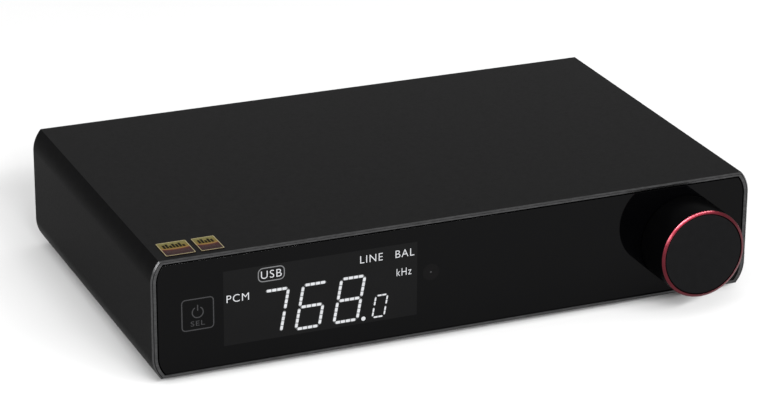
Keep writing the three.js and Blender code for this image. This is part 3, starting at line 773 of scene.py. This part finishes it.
def make_figure(name, figure, x, z, width, height, lean, half, lamps):
    """A leaning seven-segment figure with its lower left corner at x, z.

    Each segment is a dim bar, half wide to either side, with a row of brighter lamps on it.
    """

    def corner(right, level):
        return Vector((x + width * right + lean * level / 2, z + height * level / 2))

    ends = {
        "a": (corner(0, 2), corner(1, 2)), "b": (corner(1, 1), corner(1, 2)),
        "c": (corner(1, 0), corner(1, 1)), "d": (corner(0, 0), corner(1, 0)),
        "e": (corner(0, 0), corner(0, 1)), "f": (corner(0, 1), corner(0, 2)),
        "g": (corner(0, 1), corner(1, 1)),
    }
    bases, beads = [], []
    for segment in FIGURE_SEGMENTS[figure]:
        start, end = ends[segment]
        along = (end - start).normalized() * SEGMENT_GAP
        start, end = start + along, end - along
        bases.append(plate(bar_outline(start, end, half, half), FACE_Y - PRINT_T, FACE_Y))
        taper = 0.35 * half
        inner = taper / (end - start).length
        for k in range(lamps):
            one = start.lerp(end, inner + (1 - 2 * inner) * (k + LAMP_GAP) / lamps)
            other = start.lerp(end, inner + (1 - 2 * inner) * (k + 1 - LAMP_GAP) / lamps)
            lamp = bar_outline(one, other, LAMP_WIDTH * half, taper)
            beads.append(plate(lamp, FACE_Y - 2 * PRINT_T, FACE_Y))
    piece(name + "_glow", *merge(*bases), DIM, slot="display")
    piece(name, *merge(*beads), LIT, slot="display")


# Name, text, and left, right, lower and upper edge in millimetres from the display's middle
WORDS = (
    ("word_pcm", "PCM", -30.4, -23.3, 1.8, 4.2),
    ("word_usb", "USB", -19.4, -12.8, 7.8, 10.3),
    ("word_line", "LINE", 12.6, 20.0, 7.8, 10.2),
    ("word_balanced", "BAL", 24.2, 30.4, 7.8, 10.2),
    ("word_kilohertz", "kHz", 24.6, 29.5, 1.7, 4.1),
)
WORD_WEIGHT = -0.008


def make_display():
    cx, cz = centre_of("display_module")
    pitch = 12.4 * MM
    first = cx - 20.8 * MM
    for place, figure in enumerate("768"):
        make_figure(f"figure_{figure}", figure, first + place * pitch, cz - 10.4 * MM,
                    width=7.6 * MM, height=14 * MM, lean=2.6 * MM, half=0.5 * MM, lamps=4)
    make_figure("figure_tenths", "0", cx + 16.6 * MM, cz - 10.7 * MM,
                width=3.85 * MM, height=7 * MM, lean=1.25 * MM, half=0.28 * MM, lamps=2)
    dot_front = FACE_Y - 2 * PRINT_T
    dot = [(0, dot_front), (0.56 * MM, dot_front), (0.72 * MM, FACE_Y), (0, FACE_Y)]
    piece("figure_point", *lathe(dot, (cx + 13.7 * MM, cz - 10.6 * MM), 32), LIT, slot="display")
    for name, text, x0, x1, z0, z1 in WORDS:
        lettering(name, text, cx + x0 * MM, cx + x1 * MM, cz + z0 * MM, cz + z1 * MM, FACE_Y, LIT,
                  WORD_WEIGHT)
    pill = rectangle(cx - 20.4 * MM, cx - 11.8 * MM, cz + 6.75 * MM, cz + 11.35 * MM, 1.6 * MM)
    piece("word_usb_frame", *band(pill, 0.3 * MM, FACE_Y - PRINT_T, FACE_Y), DIM, slot="display")


# ---- Knob ----

def make_knob():
    """A hollow shell with a boss for the shaft, a red ring in a step round its front, and a face."""
    centre = (KNOB_X, CASE_MID.z)
    ring_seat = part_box("knob_ring")[1].y
    face_lo, face_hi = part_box("knob_face")
    face_r = (face_hi.x - face_lo.x) / 2
    ring_in = face_r + 0.3 * MM
    slope_end = KNOB_FRONT + 0.55 * MM
    lip_in = KNOB_R - 0.45 * MM
    lip_front = slope_end + 0.2 * MM
    wall_in = KNOB_R - 2.2 * MM
    boss_r, boss_end = 6.5 * MM, KNOB_BACK - 1.2 * MM
    bore_r, bore_floor = 3.3 * MM, KNOB_FRONT + 3 * MM
    hollow_floor = KNOB_FRONT + 4.5 * MM
    profile = [
        (0, KNOB_LO.y), (lip_in, KNOB_LO.y), (lip_in, lip_front), (KNOB_R, lip_front),
        (KNOB_R, KNOB_BACK), (wall_in, KNOB_BACK), (wall_in, hollow_floor), (boss_r, hollow_floor),
        (boss_r, boss_end), (bore_r, boss_end), (bore_r, bore_floor), (0, bore_floor),
    ]
    body = piece("knob_shell", *lathe(fillet(profile, 0.1 * MM, 4, closed=False), centre, 160),
                 KNOB_SIDE, "knob", "knob_body", "knob_metal")
    screw_lo, screw_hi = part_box("knob_set_screw")
    screw_mid = (screw_lo + screw_hi) / 2
    hole_r, hole_top = 1.8 * MM, CASE_MID.z - 1 * MM
    verts, faces = lathe([(0, 0), (hole_r, 0), (hole_r, KNOB_R), (0, KNOB_R)], (0, 0), 32)
    carve(body, ([(screw_mid.x + x, screw_mid.y + z, hole_top - y) for x, y, z in verts], faces))
    ring_out, flange_back = KNOB_R - 0.1 * MM, slope_end + 0.14 * MM
    spigot = lip_in - 0.05 * MM
    ring = [
        (ring_in, KNOB_FRONT), (ring_out, slope_end), (ring_out, flange_back),
        (spigot, flange_back), (spigot, ring_seat), (ring_in, ring_seat),
    ]
    piece("knob_red_ring", *lathe(fillet(ring, 0.05 * MM, 4), centre, 160, closed=True), RING,
          "knob", "knob_ring", "red_anodised")
    cap = [(0, face_lo.y), (face_r, face_lo.y), (face_r, face_hi.y), (0, face_hi.y)]
    piece("knob_cap", *lathe(fillet(cap, 0.18 * MM, 4, closed=False), centre, 160), KNOB_FACE,
          "knob", "knob_face", "knob_metal")


# ---- Labels ----

# Share of the label's depth, from its front edge, and the colour there
FOIL_COLOURS = (
    (0.00, (0.014, 0.006, 0.006, 1)), (0.30, (0.020, 0.003, 0.004, 1)),
    (0.41, (0.040, 0.008, 0.006, 1)), (0.46, (0.150, 0.080, 0.020, 1)),
    (0.56, (0.092, 0.064, 0.009, 1)), (1.00, (0.105, 0.098, 0.034, 1)),
)

# How much further back the split lies at the label's ends than in its middle, as a share of its depth
FOIL_SAG = 0.08


def foil(name, lo, hi):
    """Metal foil, gold at the back edge and dark red at the front, split by a shallow arc."""
    sheet = Finish(name, (0.3, 0.18, 0.05), 0.4, metallic=0.15, specular=0.02)
    split = sheet.nodes.new("ShaderNodeSeparateXYZ")
    sheet.links.new(sheet.coordinates(), split.inputs["Vector"])
    share = sheet.nodes.new("ShaderNodeMapRange")
    share.inputs["From Min"].default_value = lo.y
    share.inputs["From Max"].default_value = hi.y
    sheet.links.new(split.outputs["Y"], share.inputs["Value"])
    sag = sheet.nodes.new("ShaderNodeMapRange")
    sag.inputs["From Min"].default_value = lo.x
    sag.inputs["From Max"].default_value = hi.x
    sag.inputs["To Min"].default_value = -1
    sheet.links.new(split.outputs["X"], sag.inputs["Value"])
    square = sheet.nodes.new("ShaderNodeMath")
    square.operation = "MULTIPLY"
    sheet.links.new(sag.outputs["Result"], square.inputs[0])
    sheet.links.new(sag.outputs["Result"], square.inputs[1])
    bend = sheet.nodes.new("ShaderNodeMath")
    bend.operation = "MULTIPLY_ADD"
    bend.inputs[1].default_value = -FOIL_SAG
    sheet.links.new(square.outputs["Value"], bend.inputs[0])
    sheet.links.new(share.outputs["Result"], bend.inputs[2])
    ramp = sheet.nodes.new("ShaderNodeValToRGB")
    stops = ramp.color_ramp.elements
    stops[0].position, stops[0].color = FOIL_COLOURS[0]
    stops[1].position, stops[1].color = FOIL_COLOURS[-1]
    for position, colour in FOIL_COLOURS[1:-1]:
        stops.new(position).color = colour
    sheet.links.new(bend.outputs["Value"], ramp.inputs["Fac"])
    sheet.links.new(ramp.outputs["Color"], sheet.shader.inputs["Base Color"])
    return sheet.grain(0.15 * MM, 0.15, 0.01 * MM)


LABEL_EDGE = Finish("label_edge", (0.21, 0.18, 0.10), 0.4, metallic=0.15, specular=0.02)
LABEL_SHADE = Finish("label_shade", (0.026, 0.015, 0.014), 0.4, specular=0.02)
LABEL_INK = Finish("label_ink", (0.006, 0.005, 0.002), 0.5, specular=0.01)
for printed in (LABEL_EDGE, LABEL_SHADE, LABEL_INK):
    printed.mottle(900, 0.2).grain(0.15 * MM, 0.15, 0.01 * MM)


def flat_on_top(mesh, top):
    """Lays a mesh drawn in X and Z, with Y as its depth, on the top face."""
    verts, faces = mesh
    return [(x, z, top - y) for x, y, z in verts], faces


# Shares of a row's height, in turn, and half a bar's width as a share of the pitch
BAR_HEIGHTS = (0.85, 1.0, 0.6, 0.95, 0.75, 1.0, 0.5)
BAR_HALF = 0.36


def bar_pattern(x0, x1, foot, height, pitch, top):
    """A row of plain bars of differing height, standing PRINT_T proud of a label."""
    count = round((x1 - x0) / pitch)
    step = (x1 - x0) / count
    bars = []
    for k in range(count):
        x = x0 + (k + 0.5) * step
        high = height * BAR_HEIGHTS[k % len(BAR_HEIGHTS)]
        outline = rectangle(x - BAR_HALF * step, x + BAR_HALF * step, foot, foot + high)
        bars.append(flat_on_top(plate(outline, -PRINT_T, 0), top))
    return merge(*bars)


def make_label(node):
    """A foil label with a border and two rows of bars in place of its marks."""
    lo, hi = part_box(node)
    top = hi.z
    border = 0.24 * MM
    outline = rectangle(lo.x, hi.x, lo.y, hi.y, 0.3 * MM)
    base = flat_on_top(plate(outline, 0, hi.z - lo.z), top)
    piece(node + "_sheet", *base, foil(node + "_foil", lo, hi), replaces=node, slot="foil")
    edge = flat_on_top(band(outline, border, -PRINT_T, 0), top)
    piece(node + "_border", *edge, LABEL_EDGE, slot="foil")
    margin = 1.1 * MM
    # Where each row stands from the front edge, its height and the pitch of its bars
    rows = (
        ("_upper_bars", 5.5 * MM, 3.1 * MM, 1.05 * MM, LABEL_INK),
        ("_lower_bars", 1.9 * MM, 1.8 * MM, 0.7 * MM, LABEL_SHADE),
    )
    for ending, foot, height, pitch, finish in rows:
        bars = bar_pattern(lo.x + margin, hi.x - margin, lo.y + foot, height, pitch, top)
        piece(node + ending, *bars, finish, slot="foil")


# ---- Feet ----

def make_foot(node):
    """A round foot with a shallow dimple in its underside."""
    lo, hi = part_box(node)
    radius = (hi.x - lo.x) / 2
    height = hi.z - lo.z
    dimple = 0.25 * MM
    profile = [
        (0, dimple), (radius * 0.45, dimple), (radius * 0.5, 0), (radius * 0.88, 0),
        (radius, 0.5 * MM), (radius, height), (0, height),
    ]
    verts, faces = lathe(fillet(profile, 0.25 * MM, 3, closed=False), (0, 0), 64)
    centre = (lo + hi) / 2
    verts = [(centre.x + x, centre.y + z, y) for x, y, z in verts]
    piece(node + "_pad", verts, faces, RUBBER, replaces=node, slot="rubber")


# ---- Rear ----

def shifted(profile, edge=0.2 * MM, closed=False):
    """A profile in millimetres from the rear panel's face, with rounded corners."""
    return fillet([(r * MM, PANEL_Y + y * MM) for r, y in profile], edge, 3, closed)


CORNERS = ("upper_left", "upper_right", "lower_left", "lower_right")
REAR_SCREWS = [f"rear_screw_{corner}" for corner in CORNERS]
FRONT_SCREWS = [f"front_screw_{corner}" for corner in CORNERS]

# Nodes that pass through a round hole of the rear panel, and the hole's radius
REAR_HOLES = (
    (("balanced_out_left_shell", "balanced_out_right_shell"), 11.8 * MM),
    (("line_out_left_barrel", "line_out_right_barrel", "coaxial_in_barrel"), 4.45 * MM),
    (("antenna_connector", "trigger_in_socket", "trigger_out_socket"), 3.4 * MM),
    (REAR_SCREWS, 1.7 * MM),
)


def make_rear_panel():
    lo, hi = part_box("rear_panel")
    side = lo.x - SLEEVE_LO.x
    panel = piece("rear_plate", *plate(casing_outline(side, side), lo.y, hi.y), PANEL,
                  replaces="rear_panel", slot="casing")
    y0, y1 = lo.y - MM, hi.y + MM
    cutters = []
    for nodes, radius in REAR_HOLES:
        cutters += [plate(circle(*centre_of(node), radius), y0, y1) for node in nodes]
    for node in ("optical_socket", "usb_socket"):
        cutters.append(plate(node_rectangle(node, 0.3 * MM), y0, y1))
    x, z = centre_of("mains_inlet")
    half_w, half_h = 10.5 * MM, 6.1 * MM
    cutters.append(plate(rectangle(x - half_w, x + half_w, z - half_h, z + half_h), y0, y1))
    carve(panel, *cutters)
    soften(panel, 0.12 * MM, 2, PLATE_ANGLE)


def make_screw(node, outwards):
    """A low round head with a hexagon socket; outwards is the way its head faces along Y."""
    lo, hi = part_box(node)
    x, z = centre_of(node)
    head_r, head_t, chamfer = (hi.x - lo.x) / 2, 1.3 * MM, 0.45 * MM
    shank_r = 1.4 * MM
    face, tail = (hi.y, lo.y) if outwards > 0 else (lo.y, hi.y)
    seat = face - outwards * head_t
    profile = [(0, face), (head_r * 0.8, face), (head_r, face - outwards * chamfer), (head_r, seat),
               (shank_r, seat), (shank_r, tail), (0, tail)]
    turned = lathe(fillet(profile, 0.15 * MM, 3, closed=False), (x, z), 48)
    screw = piece(node + "_fine", *turned, SCREW, replaces=node, slot="dark_screw")
    # The socket is cut from just outside the face, so that no film is left over it
    socket_r, socket_depth, outside = 1.15 * MM, 0.8 * MM, outwards * 0.05 * MM
    floor = face - outwards * socket_depth
    verts, faces = plate(circle(x, z, socket_r, 6), min(face, floor), max(face, floor))
    carve(screw, ([(vx, vy + outside, vz) for vx, vy, vz in verts], faces))


# Places of the three pins, in millimetres from the connector's middle
PIN_PLACES = ((-3.5, 2), (3.5, 2), (0, -4))


def make_balanced_out(side):
    """A round shell with a plastic base and three pins."""
    node = f"balanced_out_{side}"
    x, z = centre_of(node + "_shell")
    shell = shifted([
        (0, -18), (11.5, -18), (11.5, 0.3), (12.6, 0.3), (12.6, 1.3), (11.9, 1.5), (9.9, 1.5),
        (9.6, 1.1), (9.6, -16), (0, -16),
    ])
    piece(node + "_cup", *lathe(shell, (x, z)), NICKEL, replaces=node + "_shell", slot="bright_metal")
    base = shifted([(0, -15.7), (9.3, -15.7), (9.3, -13), (0, -13)])
    piece(node + "_base", *lathe(base, (x, z)), BLACK_PLASTIC, replaces=node + "_insert",
          slot="black_plastic")
    pins = []
    for dx, dz in PIN_PLACES:
        pin = shifted([(0, -13.5), (1.2, -13.5), (1.2, -1.9), (0.75, -1.5), (0, -1.5)], 0.4 * MM)
        pins.append(lathe(pin, (x + dx * MM, z + dz * MM), 32))
    piece(node + "_pins", *merge(*pins), GOLD, slot="bright_metal")


def make_jack(name, plastic, slot):
    """A barrel with a groove near its tip, round a coloured insulator."""
    x, z = centre_of(name + "_barrel")
    tip = 9.5
    barrel = shifted([
        (3.4, -10), (4.15, -10), (4.15, 0.3), (5.05, 0.3), (5.05, 1.5), (4.15, 1.5), (4.15, 5.6),
        (3.95, 5.8), (3.95, 6.2), (4.15, 6.4), (4.15, tip - 0.4), (3.8, tip), (3.4, tip),
    ], 0.12 * MM, closed=True)
    piece(name + "_ring", *lathe(barrel, (x, z), closed=True), GOLD, replaces=name + "_barrel",
          slot="gold")
    core = shifted([(0, -9.6), (3.1, -9.6), (3.1, tip - 0.8), (1.7, tip - 0.8), (1.7, -4), (0, -4)],
                   0.15 * MM)
    piece(name + "_core", *lathe(core, (x, z), 64), plastic, replaces=name + "_insulator", slot=slot)


def make_antenna_connector():
    """A threaded barrel with a hexagon nut and a socket pin."""
    x, z = centre_of("antenna_connector")
    tip, bore, root, crest = 8.5, 2.3, 2.88, 3.1
    thread_start, thread_end, count = 2.4, tip - 0.5, 11
    step = (thread_end - thread_start) / count
    threads = []
    for k in range(count):
        y = thread_start + k * step
        threads += [(root, y), (crest, y + 0.4 * step), (crest, y + 0.6 * step)]
    profile = [(0, -7), (crest, -7), (crest, 2.2), *threads, (2.9, tip), (bore, tip), (bore, 4), (0, 4)]
    barrel = lathe([(r * MM, PANEL_Y + y * MM) for r, y in profile], (x, z), 64)
    piece("antenna_barrel", *barrel, GOLD, replaces="antenna_connector", slot="gold")
    nut = plate(circle(x, z, 4.6 * MM, 6), PANEL_Y + 0.3 * MM, PANEL_Y + 2.2 * MM, 0.2 * MM)
    obj = piece("antenna_nut", *nut, GOLD, slot="gold")
    carve(obj, plate(circle(x, z, 3.15 * MM), PANEL_Y - MM, PANEL_Y + 4 * MM))
    pin = shifted([(0, 3.9), (0.9, 3.9), (0.9, 6.4), (0.45, 7), (0, 7)], 0.2 * MM)
    piece("antenna_socket_pin", *lathe(pin, (x, z), 32), GOLD, slot="gold")


def make_trigger(node):
    """A small jack socket: a round nose through the panel and a block behind it."""
    x, z = centre_of(node)
    profile = shifted([
        (1.8, -10), (3.1, -10), (3.1, 0.8), (2.8, 1.2), (2.1, 1.2), (1.8, 0.9),
    ], 0.1 * MM, closed=True)
    nose = lathe(profile, (x, z), 64, closed=True)
    piece(node + "_nose", *nose, BLACK_PLASTIC, replaces=node, slot="black_plastic")
    inner_end, case_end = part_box(node)[0].y, PANEL_Y - 2.3 * MM
    block = plate(node_rectangle(node, 0, 0.4 * MM), inner_end, case_end, 0.2 * MM)
    case = piece(node + "_case", *block, BLACK_PLASTIC, slot="black_plastic")
    carve(case, plate(circle(x, z, 3.15 * MM), PANEL_Y - 10.5 * MM, PANEL_Y + MM))


def make_mains_inlet():
    """A flanged inlet with a deep well round two pins."""
    x, z = centre_of("mains_inlet")
    lo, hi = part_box("mains_inlet")
    outer = stadium(x, z, hi.x - lo.x, hi.z - lo.z)
    flange_back = PANEL_Y + 0.3 * MM
    flange = piece("mains_inlet_flange", *plate(outer, flange_back, hi.y, 0.5 * MM), BLACK_PLASTIC,
                   replaces="mains_inlet", slot="black_plastic")
    well = plate(stadium(x, z, 16.2 * MM, 7.8 * MM), PANEL_Y - 13 * MM, hi.y + MM)
    carve(flange, well)
    half_w, half_h = 10.2 * MM, 5.8 * MM
    case = rectangle(x - half_w, x + half_w, z - half_h, z + half_h, 0.8 * MM)
    body = piece("mains_inlet_case", *plate(case, lo.y, flange_back, 0.2 * MM), BLACK_PLASTIC,
                 slot="black_plastic")
    carve(body, well)
    for side in ("left", "right"):
        node = f"mains_pin_{side}"
        px, pz = centre_of(node)
        pin = shifted([(0, -12.7), (1.2, -12.7), (1.2, -1.5), (0.7, -1), (0, -1)], 0.4 * MM)
        piece(node + "_round", *lathe(pin, (px, pz), 32), NICKEL, replaces=node, slot="bright_metal")


def make_rear():
    make_rear_panel()
    for side in ("left", "right"):
        make_balanced_out(side)
    make_jack("line_out_left", WHITE_PLASTIC, "white_plastic")
    make_jack("line_out_right", RED_PLASTIC, "red_plastic")
    make_jack("coaxial_in", ORANGE_PLASTIC, "orange_plastic")
    make_antenna_connector()
    make_trigger("trigger_in_socket")
    make_trigger("trigger_out_socket")
    make_mains_inlet()
    refine("optical_socket", BLACK_PLASTIC, 0.2 * MM)
    refine("optical_shutter", BLACK_PLASTIC, 0.1 * MM, "shutter_flap")
    refine("usb_socket", NICKEL, 0.2 * MM)
    refine("usb_tongue", WHITE_PLASTIC, 0.15 * MM)
    for node in REAR_SCREWS:
        make_screw(node, 1)


def make_front_screws():
    for node in FRONT_SCREWS:
        make_screw(node, -1)


# ---- CAD pieces that stay, with their finishes ----

INSIDE = {
    "front_frame": FRAME_METAL, "display_module": WINDOW, "front_board": BOARD,
    "touch_sensor_block": RUBBER, "infrared_receiver": CHIP, "encoder_body": BLACK_PLASTIC,
    "encoder_nut": NICKEL, "encoder_shaft": NICKEL, "switch_plunger": WHITE_PLASTIC,
    "knob_set_screw": SCREW, "main_board": BOARD, "power_board": BOARD, "transformer": TRANSFORMER,
    "mains_capacitor": SLEEVED_CAN, "smoothing_capacitor": SLEEVED_CAN, "converter_chip": CHIP,
    "processor_chip": CHIP, "wireless_module": NICKEL, "output_relay": BLACK_PLASTIC,
    "ribbon_cable": RIBBON,
}


def finish_inside():
    for node, finish in INSIDE.items():
        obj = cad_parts[node]
        obj.data.materials.clear()
        obj.data.materials.append(finish.material)


make_camera()
make_world(WORLD_STRENGTH)
for light in LIGHTS:
    area_light(*light)
make_floor()
bpy.context.scene.view_settings.view_transform = "Standard"

make_sleeve()
make_lens()
make_window()
make_touch_key()
make_infrared_spot()
make_display()
make_knob()
for label in ("foil_label_large", "foil_label_small"):
    make_label(label)
for foot in ("foot_front_left", "foot_front_right", "foot_rear_left", "foot_rear_right"):
    make_foot(foot)
make_rear()
make_front_screws()
finish_inside()


def corners(box):
    return [list(corner) for corner in box]
